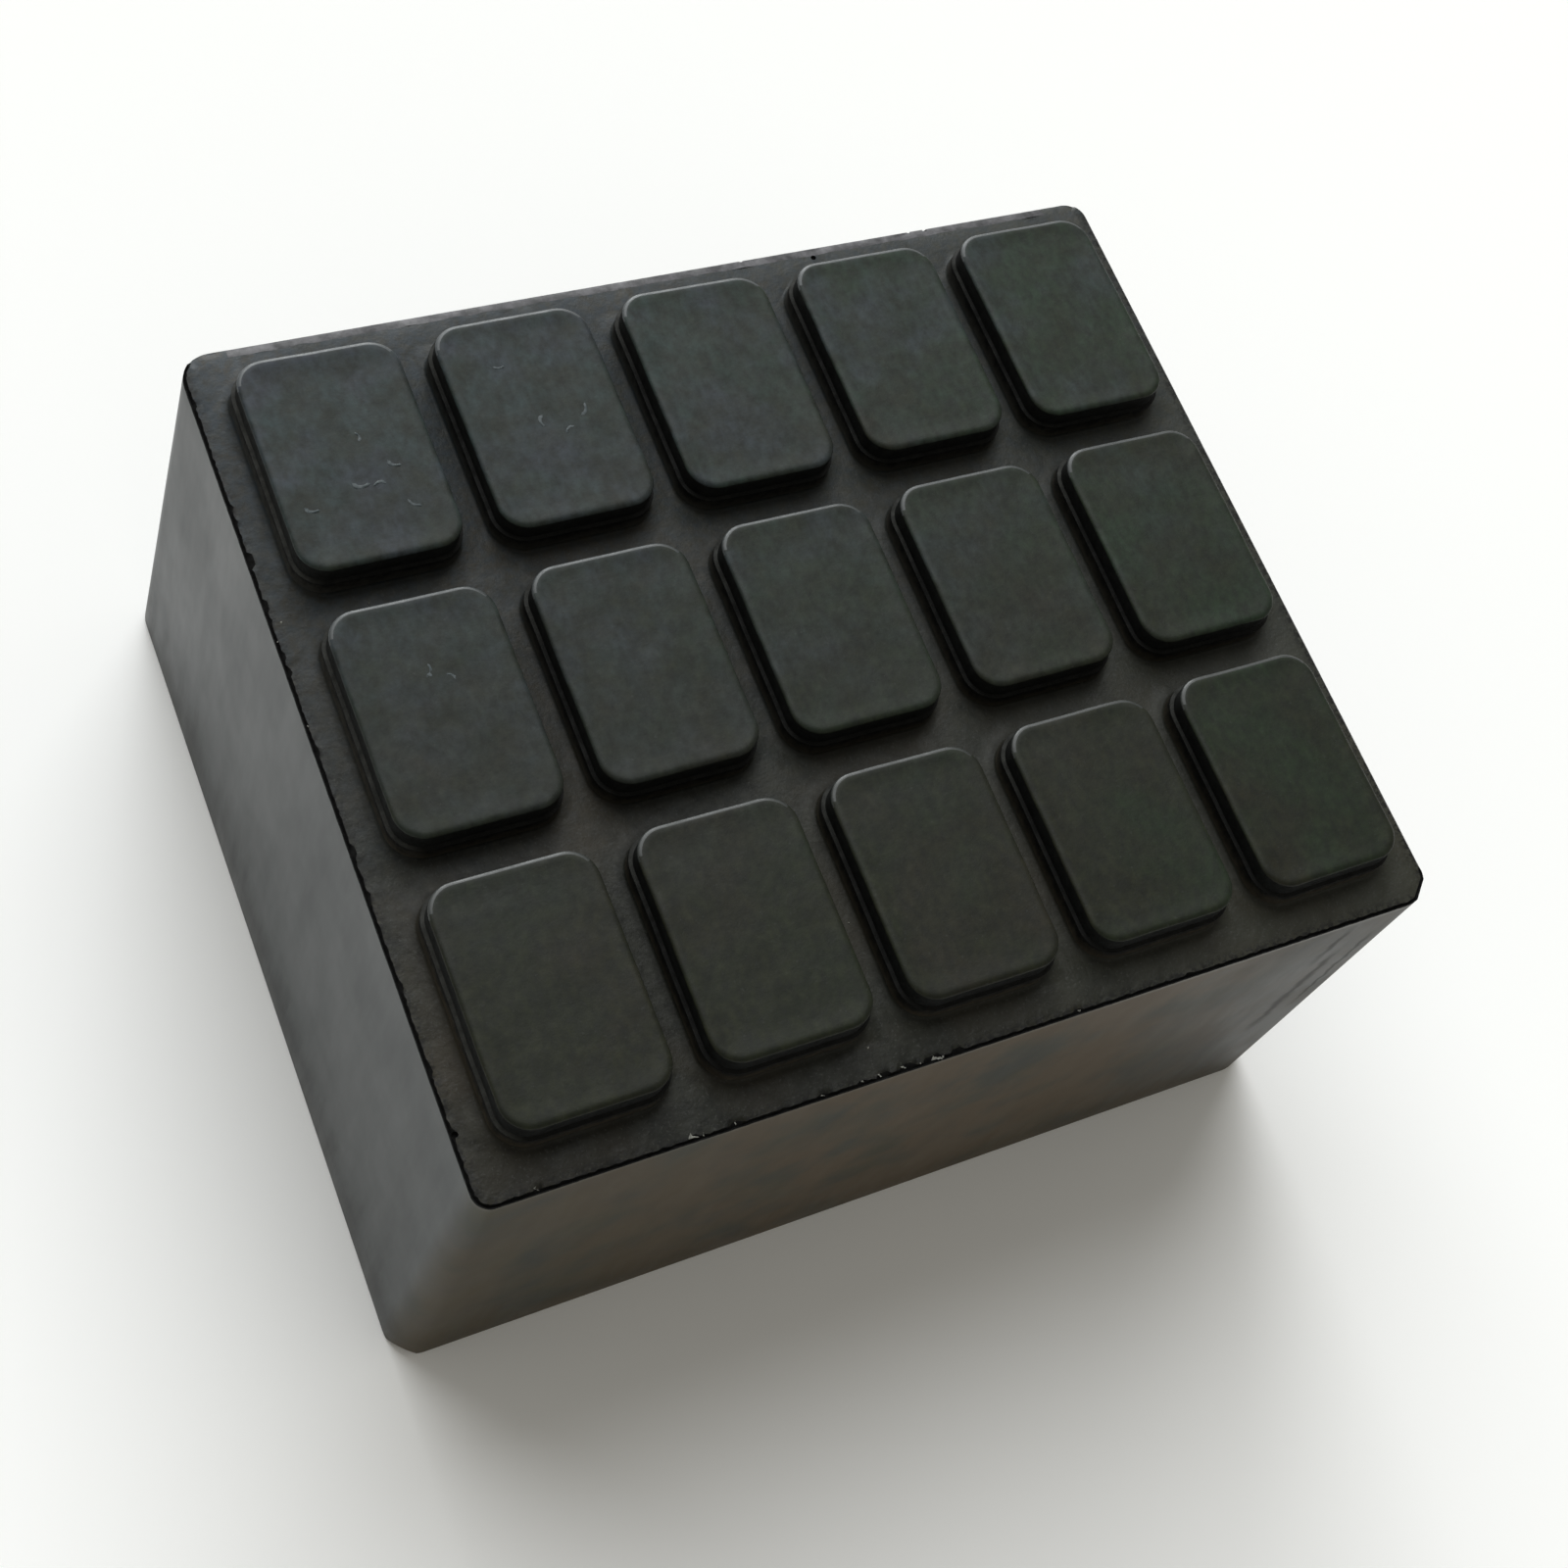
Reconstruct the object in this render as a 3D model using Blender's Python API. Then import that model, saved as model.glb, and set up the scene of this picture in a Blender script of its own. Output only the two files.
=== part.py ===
"""Car lift rubber pad: one moulded block of black rubber with a grid of raised pads on its top.

Metres, +Z up. The origin is the centre of the base. X runs along the long side, Y along the short side.
"""

import math

import bmesh
import bpy
from mathutils import Vector

# The block
TOP_LENGTH = 0.140  # along X, at the top of the walls
TOP_WIDTH = 0.120  # along Y, at the top of the walls
BODY_HEIGHT = 0.0675  # from the base to the plate between the pads
WALL_LEAN = 0.0012  # how far each wall stands further out at the base than at the top
CORNER_RADIUS = 0.0045  # the upright corners
TOP_EDGE_RADIUS = 0.0005
BASE_EDGE_RADIUS = 0.0005

# The pads, which fill what the grooves leave of the top
COLUMNS = 5  # along X
ROWS = 3  # along Y
GROOVE_X = 0.005  # between neighbours along X, and along the two short borders
GROOVE_Y = 0.006  # between neighbours along Y, and along the two long borders
PAD_CORNER_RADIUS = 0.004
PAD_RIM_RADIUS = 0.0003
UPPER_HEIGHT = 0.0028  # the upper half of each pad, from its ledge to its top
LOWER_HEIGHT = 0.0027  # the lower half, which stands out a little on all sides
STEP_LEDGE = 0.0005  # how far it stands out
FOOT_FLARE = 0.0004  # the slope where a pad's side runs into the plate
ROOT_DEPTH = 0.002  # how far a pad reaches into the block before the two are joined

# How finely the round stretches are divided
BLOCK_CORNER_STEPS = 6
PAD_CORNER_STEPS = 5
EDGE_STEPS = 2

# The rubber, as its linear colour, roughness and metallic value
RUBBER_COLOUR = (0.030, 0.033, 0.031, 1.0)
RUBBER_ROUGHNESS = 0.55
RUBBER_METALLIC = 0.0

PAD_LENGTH_X = (TOP_LENGTH - (COLUMNS + 1) * GROOVE_X) / COLUMNS
PAD_LENGTH_Y = (TOP_WIDTH - (ROWS + 1) * GROOVE_Y) / ROWS


def clear_scene():
    """Empties the scene of what a new file holds."""
    for old in list(bpy.data.objects):
        bpy.data.objects.remove(old, do_unlink=True)


def collection(name):
    """A new collection in the scene."""
    made = bpy.data.collections.new(name)
    bpy.context.scene.collection.children.link(made)
    return made


def rubber():
    """Black rubber, matt on top and satin on its walls."""
    made = bpy.data.materials.new("black_rubber")
    made.use_nodes = True
    shader = made.node_tree.nodes["Principled BSDF"]
    shader.inputs["Base Color"].default_value = RUBBER_COLOUR
    shader.inputs["Roughness"].default_value = RUBBER_ROUGHNESS
    shader.inputs["Metallic"].default_value = RUBBER_METALLIC
    made.diffuse_color = RUBBER_COLOUR
    return made


def add_box(shape, length, width, bottom, top):
    """A box centred on the origin in X and Y, in a mesh of its own."""
    bmesh.ops.create_cube(shape, size=1.0)
    for corner in shape.verts:
        corner.co.x *= length
        corner.co.y *= width
        corner.co.z = top if corner.co.z > 0 else bottom


def upright(edge):
    """True for an edge that joins the bottom of a box to its top."""
    low, high = sorted(corner.co.z for corner in edge.verts)
    return high - low > edge.calc_length() / 2


def face_towards(shape, direction):
    """The face that looks most nearly the given way."""
    return max(shape.faces, key=lambda face: face.normal.dot(Vector(direction)))


def round_uprights(shape, radius, steps):
    """Rounds the four corners that run from bottom to top."""
    edges = [edge for edge in shape.edges if upright(edge)]
    bmesh.ops.bevel(shape, geom=edges, offset=radius, segments=steps, profile=0.5, affect="EDGES")
    shape.normal_update()


def round_rim(shape, direction, radius):
    """Rounds all the edges of the face that looks the given way."""
    edges = list(face_towards(shape, direction).edges)
    bmesh.ops.bevel(shape, geom=edges, offset=radius, segments=EDGE_STEPS, profile=0.5, affect="EDGES")
    shape.normal_update()


def object_of(name, shape, home):
    """Turns a built shape into an object of the collection."""
    mesh = bpy.data.meshes.new(name)
    shape.to_mesh(mesh)
    shape.free()
    made = bpy.data.objects.new(name, mesh)
    home.objects.link(made)
    return made


def make_block(home):
    """The block without its pads: four leaning walls, round upright corners and slightly rounded edges."""
    shape = bmesh.new()
    add_box(shape, TOP_LENGTH, TOP_WIDTH, bottom=0.0, top=BODY_HEIGHT)
    for corner in face_towards(shape, (0, 0, -1)).verts:
        corner.co.x += math.copysign(WALL_LEAN, corner.co.x)
        corner.co.y += math.copysign(WALL_LEAN, corner.co.y)
    round_uprights(shape, CORNER_RADIUS, BLOCK_CORNER_STEPS)
    round_rim(shape, (0, 0, 1), TOP_EDGE_RADIUS)
    round_rim(shape, (0, 0, -1), BASE_EDGE_RADIUS)
    return object_of("lift_pad_block", shape, home)


def pad_section():
    """How far in and up the pad's top moves from its foot, one (in, up) pair for each stretch of its side."""
    stretches = [
        (FOOT_FLARE, FOOT_FLARE),
        (0.0, LOWER_HEIGHT - FOOT_FLARE),
        (STEP_LEDGE, 0.0),
        (0.0, UPPER_HEIGHT - PAD_RIM_RADIUS),
    ]
    quarter = math.pi / 2
    for step in range(EDGE_STEPS):
        start, end = quarter * step / EDGE_STEPS, quarter * (step + 1) / EDGE_STEPS
        inward = PAD_RIM_RADIUS * (math.cos(start) - math.cos(end))
        upward = PAD_RIM_RADIUS * (math.sin(end) - math.sin(start))
        stretches.append((inward, upward))
    return stretches


def make_pad_shape():
    """One pad, standing on the plate and reaching into the block: its root is drawn up stretch by stretch."""
    outset = STEP_LEDGE + FOOT_FLARE
    shape = bmesh.new()
    add_box(
        shape,
        PAD_LENGTH_X + 2 * outset,
        PAD_LENGTH_Y + 2 * outset,
        bottom=BODY_HEIGHT - ROOT_DEPTH,
        top=BODY_HEIGHT,
    )
    round_uprights(shape, PAD_CORNER_RADIUS + outset, PAD_CORNER_STEPS)
    top = face_towards(shape, (0, 0, 1))
    for inward, upward in pad_section():
        if inward:
            bmesh.ops.inset_region(shape, faces=[top], thickness=inward, depth=0.0, use_even_offset=True)
        else:
            raised = bmesh.ops.extrude_face_region(shape, geom=[top])
            bmesh.ops.delete(shape, geom=[top], context="FACES_ONLY")
            top = next(item for item in raised["geom"] if isinstance(item, bmesh.types.BMFace))
        bmesh.ops.translate(shape, verts=top.verts, vec=(0, 0, upward))
        shape.normal_update()
    return shape


def make_pads(home):
    """All the pads of the grid, in one object."""
    grid = bmesh.new()
    pitch_x = PAD_LENGTH_X + GROOVE_X
    pitch_y = PAD_LENGTH_Y + GROOVE_Y
    one = bpy.data.meshes.new("pad")
    shape = make_pad_shape()
    shape.to_mesh(one)
    shape.free()
    for column in range(COLUMNS):
        for row in range(ROWS):
            before = set(grid.verts)
            grid.from_mesh(one)
            place = Vector(((column - (COLUMNS - 1) / 2) * pitch_x, (row - (ROWS - 1) / 2) * pitch_y, 0))
            bmesh.ops.translate(grid, verts=[v for v in grid.verts if v not in before], vec=place)
    bpy.data.meshes.remove(one)
    pads = object_of("pad_grid", grid, home)
    pads.hide_render = True
    pads.display_type = "WIRE"
    return pads


def main():
    clear_scene()
    part = collection("car_lift_rubber_pad")
    helpers = collection("shapes_to_join")
    block = make_block(part)
    block.data.materials.append(rubber())
    join = block.modifiers.new("pads on the plate", "BOOLEAN")
    join.operation = "UNION"
    join.solver = "EXACT"
    join.object = make_pads(helpers)
    block.data.shade_smooth()
    block.data.set_sharp_from_angle(angle=math.radians(30))


main()
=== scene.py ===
# %% [markdown]
# # A rubber block for a car lift
# A garage lays a block like this between the arm of a lift and the sill of a car. It is one piece of
# black rubber, pressed in a mould: a thick block with a grid of raised pads on top, which keep the car
# from sliding. Nothing is fastened to it, so the whole lesson is about one skin: how to get the large
# form, the small steps round each pad, the torn mould line at the edge, and a rubber that looks right.
#
# The measured model comes first. It is the frame that every later piece has to fit.

# %% Open the measured model
import math
import random

import bmesh
import bpy
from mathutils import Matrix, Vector


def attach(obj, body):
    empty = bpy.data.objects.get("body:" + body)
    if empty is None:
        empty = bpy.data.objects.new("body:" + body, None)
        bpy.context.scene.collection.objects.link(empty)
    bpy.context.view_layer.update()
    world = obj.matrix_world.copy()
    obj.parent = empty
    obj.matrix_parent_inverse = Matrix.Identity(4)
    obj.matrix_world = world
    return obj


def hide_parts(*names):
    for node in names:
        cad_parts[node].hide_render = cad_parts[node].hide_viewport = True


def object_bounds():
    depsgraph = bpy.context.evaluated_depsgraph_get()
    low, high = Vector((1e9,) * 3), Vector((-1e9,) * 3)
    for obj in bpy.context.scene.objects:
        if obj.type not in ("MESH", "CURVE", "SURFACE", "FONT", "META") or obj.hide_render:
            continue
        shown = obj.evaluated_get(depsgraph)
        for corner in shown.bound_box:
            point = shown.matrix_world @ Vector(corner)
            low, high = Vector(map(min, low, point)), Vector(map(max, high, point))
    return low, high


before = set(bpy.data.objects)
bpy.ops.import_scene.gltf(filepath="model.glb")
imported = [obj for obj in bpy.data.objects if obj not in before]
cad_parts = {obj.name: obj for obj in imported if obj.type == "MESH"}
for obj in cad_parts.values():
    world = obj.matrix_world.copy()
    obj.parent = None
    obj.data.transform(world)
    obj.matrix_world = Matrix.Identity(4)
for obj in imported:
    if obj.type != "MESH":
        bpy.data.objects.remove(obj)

cad_low, cad_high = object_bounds()
cad_size = cad_high - cad_low
print("measured box in mm:", [round(1000 * side, 2) for side in cad_size])

# %% [markdown]
# ## The sizes
# All sizes are in metres. The outer ones come from the frame, so the block can't drift away from it.
# The rest are the maker's sizes: how far the walls lean so that the block leaves its mould, how wide the
# grooves between the pads are, and how each pad steps in halfway up its side.

# %% Name the sizes
WALL_LEAN = 0.0012
TOP_LENGTH = cad_size.x - 2 * WALL_LEAN
TOP_WIDTH = cad_size.y - 2 * WALL_LEAN
LOWER_HEIGHT = 0.0027
UPPER_HEIGHT = 0.0028
PLATE_LEVEL = cad_size.z - LOWER_HEIGHT - UPPER_HEIGHT
STEP_LEVEL = PLATE_LEVEL + LOWER_HEIGHT
CORNER_RADIUS = 0.0045
half_x, half_y = TOP_LENGTH / 2, TOP_WIDTH / 2

COLUMNS = 5
ROWS = 3
GROOVE_X = 0.005
GROOVE_Y = 0.006
PAD_X = (TOP_LENGTH - (COLUMNS + 1) * GROOVE_X) / COLUMNS
PAD_Y = (TOP_WIDTH - (ROWS + 1) * GROOVE_Y) / ROWS
PITCH_X = PAD_X + GROOVE_X
PITCH_Y = PAD_Y + GROOVE_Y
LEDGE = 0.0005
FLARE = 0.0004
PAD_CORNER = 0.004
print("plate level and pad in mm:", [round(1000 * side, 2) for side in (PLATE_LEVEL, PAD_X, PAD_Y)])

# %% [markdown]
# ## The rubbers
# The block is one rubber, yet it shows several finishes. Each is a Principled shader fed by noise that
# reads Object coordinates, so the pattern stays on the rubber from every side. The same few steps come
# back in all of them: a noise of a chosen size, a spread of it between two values, a mix of two colours,
# and a bump. So these steps are written once, as small functions that pass a socket on to the next. All
# colours are linear, and all lengths are in metres.

# %% A few words for nodes
def feed(tree, value, socket):
    """Links a socket to another, or sets it to a plain number or colour."""
    if isinstance(value, bpy.types.NodeSocket):
        tree.links.new(value, socket)
    elif isinstance(value, tuple):
        socket.default_value = (*value, 1)
    else:
        socket.default_value = value


def begin(name, specular):
    """A new material, its node tree, its shader, and the object's own coordinates."""
    made = bpy.data.materials.new(name)
    made.use_nodes = True
    tree = made.node_tree
    shader = tree.nodes["Principled BSDF"]
    shader.inputs["Specular IOR Level"].default_value = specular
    return made, tree, shader, tree.nodes.new("ShaderNodeTexCoord").outputs["Object"]


def cloud(tree, place, size, detail=3, stretch=(1, 1, 1), shift=0):
    """Noise from 0 to 1 whose lumps are about the given size. The shift picks another stretch of it."""
    mapping = tree.nodes.new("ShaderNodeMapping")
    mapping.inputs["Location"].default_value = (shift, 2 * shift, 3 * shift)
    mapping.inputs["Scale"].default_value = [share / size for share in stretch]
    tree.links.new(place, mapping.inputs["Vector"])
    noise = tree.nodes.new("ShaderNodeTexNoise")
    noise.inputs["Scale"].default_value = 1
    noise.inputs["Detail"].default_value = detail
    noise.inputs["Roughness"].default_value = 0.6
    tree.links.new(mapping.outputs["Vector"], noise.inputs["Vector"])
    return noise.outputs["Fac"]


def spread(tree, value, low, high, start=0.35, stop=0.65):
    """Turns the stretch from start to stop into the stretch from low to high, and stays inside it."""
    node = tree.nodes.new("ShaderNodeMapRange")
    for name, number in (("From Min", start), ("From Max", stop), ("To Min", low), ("To Max", high)):
        node.inputs[name].default_value = number
    tree.links.new(value, node.inputs["Value"])
    return node.outputs["Result"]


def mixed(tree, amount, first, second):
    """The first colour, turning into the second as the amount goes from 0 to 1."""
    mix = tree.nodes.new("ShaderNodeMix")
    mix.data_type = "RGBA"
    feed(tree, amount, mix.inputs[0])
    feed(tree, first, mix.inputs[6])
    feed(tree, second, mix.inputs[7])
    return mix.outputs[2]


def maths(tree, operation, first, second=0.0):
    """One step of arithmetic, named as Blender's Math node names it."""
    node = tree.nodes.new("ShaderNodeMath")
    node.operation = operation
    feed(tree, first, node.inputs[0])
    feed(tree, second, node.inputs[1])
    return node.outputs[0]


def times(tree, first, second):
    return maths(tree, "MULTIPLY", first, second)


def plus(tree, first, second):
    return maths(tree, "ADD", first, second)


def parts_of(tree, place):
    """The three coordinates of a place, as sockets."""
    node = tree.nodes.new("ShaderNodeSeparateXYZ")
    tree.links.new(place, node.inputs[0])
    return node.outputs[0], node.outputs[1], node.outputs[2]


def bumps(tree, height, distance, strength, below=None):
    """A bump of the given height, on top of the bumps below it."""
    bump = tree.nodes.new("ShaderNodeBump")
    bump.inputs["Strength"].default_value = strength
    bump.inputs["Distance"].default_value = distance
    tree.links.new(height, bump.inputs["Height"])
    if below:
        tree.links.new(below, bump.inputs["Normal"])
    return bump.outputs["Normal"]


def dress(tree, shader, tone, gloss, skin):
    """Gives a shader its colour, its roughness and its bumps."""
    for name, socket in (("Base Color", tone), ("Roughness", gloss), ("Normal", skin)):
        tree.links.new(socket, shader.inputs[name])


# %% [markdown]
# ### The rubber of the pads
# The pads took the matt face of the mould. Their black leans to green, with brown clouds here and there,
# and a painted blue-grey sheen towards the back on the left, with violet patches in it: it stands for the
# light from behind, mirrored in the tops. The painted sheen grows towards the back, more so on the left,
# and noise breaks it up. A very fine light speckle stands for the powder that keeps rubber from sticking.

# %% Mix the rubber of the pads
PAD_DARK, PAD_LIGHT = (0.0065, 0.0072, 0.0026), (0.0160, 0.0170, 0.0078)
PAD_GREEN, PAD_BROWN = (0.0125, 0.0260, 0.0115), (0.0175, 0.0130, 0.0085)
PAD_SHEEN_VIOLET = (0.0320, 0.0360, 0.0520)
PAD_SHEEN_LEFT, PAD_SHEEN_RIGHT = (0.0255, 0.0385, 0.0440), (0.0210, 0.0420, 0.0260)
PAD_WORN, PAD_POWDER = (0.0040, 0.0050, 0.0035), (0.0500, 0.0540, 0.0500)


def painted_sheen_over(tree, place):
    """How much painted sheen the rubber gets: 0 along the front, about 1 at the back on the left."""
    across, deep, _ = parts_of(tree, place)
    return times(tree, spread(tree, deep, 0, 1, -0.035, 0.055), spread(tree, across, 0.9, 0.5, -0.06, 0.06))


pad_rubber, tree, shader, place = begin("pad_rubber", 0.20)
lumps = spread(tree, cloud(tree, place, 0.0022, 6), 0, 1)
tone = mixed(tree, lumps, PAD_DARK, PAD_LIGHT)
to_right = spread(tree, parts_of(tree, place)[0], 0.2, 1.0, -0.03, 0.06)
green = times(tree, to_right, spread(tree, cloud(tree, place, 0.017, 2, shift=5), 0.1, 0.9))
tone = mixed(tree, green, tone, PAD_GREEN)
brown = spread(tree, cloud(tree, place, 0.021, 3, shift=9), 0.0, 0.6, 0.5, 0.7)
tone = mixed(tree, brown, tone, PAD_BROWN)
broken = spread(tree, cloud(tree, place, 0.0040, 9, shift=3), 0.35, 1.45)
# Painted sheen: the tops are painted lighter and bluer towards the back on the left, with violet patches.
sheen_amount = times(tree, painted_sheen_over(tree, place), broken)
tone = mixed(tree, sheen_amount, tone, mixed(tree, to_right, PAD_SHEEN_LEFT, PAD_SHEEN_RIGHT))
violet = spread(tree, cloud(tree, place, 0.012, 3, shift=14), 0.0, 0.7, 0.46, 0.60)
tone = mixed(tree, times(tree, violet, sheen_amount), tone, PAD_SHEEN_VIOLET)
worn = spread(tree, cloud(tree, place, 0.0013, 9, (1, 0.6, 1), shift=12), 0.65, 0.0)
tone = mixed(tree, worn, tone, PAD_WORN)
powder = spread(tree, cloud(tree, place, 0.0006, 2, shift=7), 0.0, 0.3, 0.66, 0.8)
tone = mixed(tree, powder, tone, PAD_POWDER)
gloss = spread(tree, cloud(tree, place, 0.004, 4, shift=2), 0.45, 0.56)
skin = bumps(tree, cloud(tree, place, 0.006, 3, shift=1), 0.00006, 0.7)
skin = bumps(tree, cloud(tree, place, 0.0012, 3, shift=4), 0.00005, 0.8, skin)
skin = bumps(tree, cloud(tree, place, 0.00035, 2), 0.00001, 0.5, skin)
dress(tree, shader, tone, gloss, skin)
print("pad rubber:", len(tree.nodes), "nodes")

# %% [markdown]
# ### The edges of the pads
# The small round at the top of each pad is rubbed by every car. Along the back it is worn smoothest and
# glossiest, and there its colour is also painted lighter than the pad, a painted highlight, with a painted
# sheen at the back on the left. The side below it is rough, and its colour is painted almost black, a
# painted shade. Below the ledge the colour is painted darkest just under the ledge and lighter towards the
# foot of the pad, a painted shadow that fades downwards. The ledge is painted lighter on the left of the
# block and near the back of each pad, a painted highlight where it faces the light. For this the shader
# has to know where on its pad a point lies, so it takes away the middle of the nearest row.

# %% Mix the rim and the side
RIM_DARK, RIM_LIGHT, RIM_PAINTED_SHEEN = (0.010, 0.012, 0.010), (0.022, 0.025, 0.023), (0.048, 0.056, 0.062)
rim_rubber_painted_highlight, tree, shader, place = begin("rim_rubber_painted_highlight", 0.42)
# Painted highlight: the rim is painted lighter than the pads, and a painted sheen is added at the back on
# the left.
tone = mixed(tree, spread(tree, cloud(tree, place, 0.003, 4), 0, 1), RIM_DARK, RIM_LIGHT)
tone = mixed(tree, painted_sheen_over(tree, place), tone, RIM_PAINTED_SHEEN)
gloss = spread(tree, cloud(tree, place, 0.002, 3, shift=3), 0.36, 0.50)
dress(tree, shader, tone, gloss, bumps(tree, cloud(tree, place, 0.0009, 2), 0.00001, 0.5))

# Painted shade: the side of the upper storey is painted almost black, for it lies in shade.
SIDE_SHADE_DARK, SIDE_SHADE_LIGHT = (0.0020, 0.0024, 0.0021), (0.0060, 0.0068, 0.0064)
side_rubber_painted_shade, tree, shader, place = begin("side_rubber_painted_shade", 0.15)
tone = mixed(tree, spread(tree, cloud(tree, place, 0.0012, 4), 0, 1), SIDE_SHADE_DARK, SIDE_SHADE_LIGHT)
gloss = spread(tree, cloud(tree, place, 0.002, 3), 0.7, 0.9)
dress(tree, shader, tone, gloss, bumps(tree, cloud(tree, place, 0.0007, 3), 0.00005, 0.8))
print("rim and side done")

# %% Mix the foot
FOOT_PAINTED_SHADE, FOOT_LOWER_TONE = (0.0035, 0.0038, 0.0034), (0.0380, 0.0320, 0.0220)
FOOT_PAINTED_SHEEN, LEDGE_PAINTED_HIGHLIGHT = (0.0230, 0.0290, 0.0320), (0.0300, 0.0310, 0.0280)
foot_rubber, tree, shader, place = begin("foot_rubber", 0.18)
across, deep, height = parts_of(tree, place)
uneven = plus(tree, height, spread(tree, cloud(tree, place, 0.0014, 4), -0.0005, 0.0005))
# Painted shadow: the lower storey is painted darkest just under the ledge and lighter towards its foot; a
# painted sheen is added at the back on the left.
out_of_painted_shade = spread(tree, uneven, 1.0, 0.0, PLATE_LEVEL + 0.2 * FLARE, PLATE_LEVEL + 0.85 * LOWER_HEIGHT)
tone = mixed(tree, out_of_painted_shade, FOOT_PAINTED_SHADE, FOOT_LOWER_TONE)
tone = mixed(tree, times(tree, painted_sheen_over(tree, place), out_of_painted_shade), tone, FOOT_PAINTED_SHEEN)
# Painted highlight: the ledge is painted lighter on the left of the block and near the back of each pad,
# where it faces the light.
row_number = maths(tree, "ROUND", maths(tree, "DIVIDE", deep, PITCH_Y))
on_pad = maths(tree, "SUBTRACT", deep, times(tree, row_number, PITCH_Y))
on_left = spread(tree, across, 1, 0, -0.064, -0.062)
dust_and_ledge_highlight = maths(tree, "MAXIMUM", on_left, spread(tree, on_pad, 0, 0.9, 0.005, 0.013))
on_ledge = spread(tree, height, 0.0, 1.0, STEP_LEVEL - 0.0003, STEP_LEVEL - 0.0001)
dust_and_ledge_highlight = times(tree, times(tree, dust_and_ledge_highlight, on_ledge), spread(tree, cloud(tree, place, 0.0016, 4), 0.4, 1.1))
tone = mixed(tree, dust_and_ledge_highlight, tone, LEDGE_PAINTED_HIGHLIGHT)
gloss = spread(tree, cloud(tree, place, 0.002, 3), 0.65, 0.85)
dress(tree, shader, tone, gloss, bumps(tree, cloud(tree, place, 0.0007, 3), 0.00005, 0.8))
print("foot rubber:", len(tree.nodes), "nodes")

# %% [markdown]
# ### The plate between the pads
# The plate is painted darker along the feet of the pads, a painted shade for the grooves that the pads
# shade, and it is rougher there. To know how far a point is from the nearest pad, the shader folds the
# plate: a ping-pong of the coordinate gives the distance from the middle of the nearest column, and
# another gives the row. From these two, the distance to the pad's round-cornered outline is a little
# school geometry. The rest of the plate is grey with dust, brown in places, and has fine light crumbs all
# over it, and a painted sheen lightens it towards the back on the left.

# %% Measure from the pads
def from_pads(tree, place):
    """How far a point of the plate is from the foot of the nearest pad."""
    across, deep, _ = parts_of(tree, place)
    ways = ((across, PITCH_X, PAD_X / 2, COLUMNS), (deep, PITCH_Y, PAD_Y / 2, ROWS))
    overs = []
    for value, pitch, half, count in ways:
        folded = maths(tree, "PINGPONG", value, pitch / 2)
        outermost = maths(tree, "SUBTRACT", maths(tree, "ABSOLUTE", value), pitch * (count - 1) / 2)
        nearest = maths(tree, "MAXIMUM", folded, outermost)
        over = maths(tree, "SUBTRACT", nearest, half - PAD_CORNER)
        overs.append(maths(tree, "MAXIMUM", over, 0.0))
    squares = [times(tree, over, over) for over in overs]
    away = maths(tree, "SQRT", plus(tree, squares[0], squares[1]))
    return maths(tree, "SUBTRACT", away, PAD_CORNER + LEDGE + FLARE)


# %% Mix the rubber of the plate
PLATE_DARK, PLATE_LIGHT = (0.0056, 0.0062, 0.0040), (0.0215, 0.0225, 0.0165)
PLATE_BROWN, PLATE_DUST = (0.0285, 0.0222, 0.0125), (0.0290, 0.0300, 0.0220)
PLATE_PAINTED_SHEEN = (0.0160, 0.0235, 0.0295)
PLATE_SOILED, PLATE_CRUMBS = (0.0070, 0.0075, 0.0055), (0.0500, 0.0510, 0.0460)
PLATE_PAINTED_SHADE, PLATE_SPECKS = (0.0025, 0.0025, 0.0020), (0.0020, 0.0020, 0.0020)
plate_rubber, tree, shader, place = begin("plate_rubber", 0.22)
across, deep, _ = parts_of(tree, place)
tone = mixed(tree, spread(tree, cloud(tree, place, 0.0018, 6), 0, 1), PLATE_DARK, PLATE_LIGHT)
brown = spread(tree, cloud(tree, place, 0.019, 3, shift=8), 0.0, 0.7, 0.42, 0.62)
tone = mixed(tree, brown, tone, PLATE_BROWN)
patches = spread(tree, cloud(tree, place, 0.006, 4, shift=11), 0.5, 1.1)
dust_and_ledge_highlight = times(tree, spread(tree, across, 0, 0.9, -0.045, 0.060), patches)
tone = mixed(tree, dust_and_ledge_highlight, tone, PLATE_DUST)
near_front = spread(tree, deep, 0.5, 0.0, -0.0590, -0.0520)
soiled = times(tree, near_front, spread(tree, across, 1.0, 0.0, -0.010, 0.030))
tone = mixed(tree, soiled, tone, PLATE_SOILED)
crumbs = spread(tree, cloud(tree, place, 0.0004, 2, shift=21), 0.0, 0.45, 0.60, 0.68)
tone = mixed(tree, crumbs, tone, PLATE_CRUMBS)
broken = spread(tree, cloud(tree, place, 0.0014, 6, shift=3), 0.2, 1.4)
# Painted sheen: the plate is painted lighter and bluer towards the back on the left.
tone = mixed(tree, times(tree, painted_sheen_over(tree, place), broken), tone, PLATE_PAINTED_SHEEN)
wander = spread(tree, cloud(tree, place, 0.0016, 3, shift=2), -0.0002, 0.0002)
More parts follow.
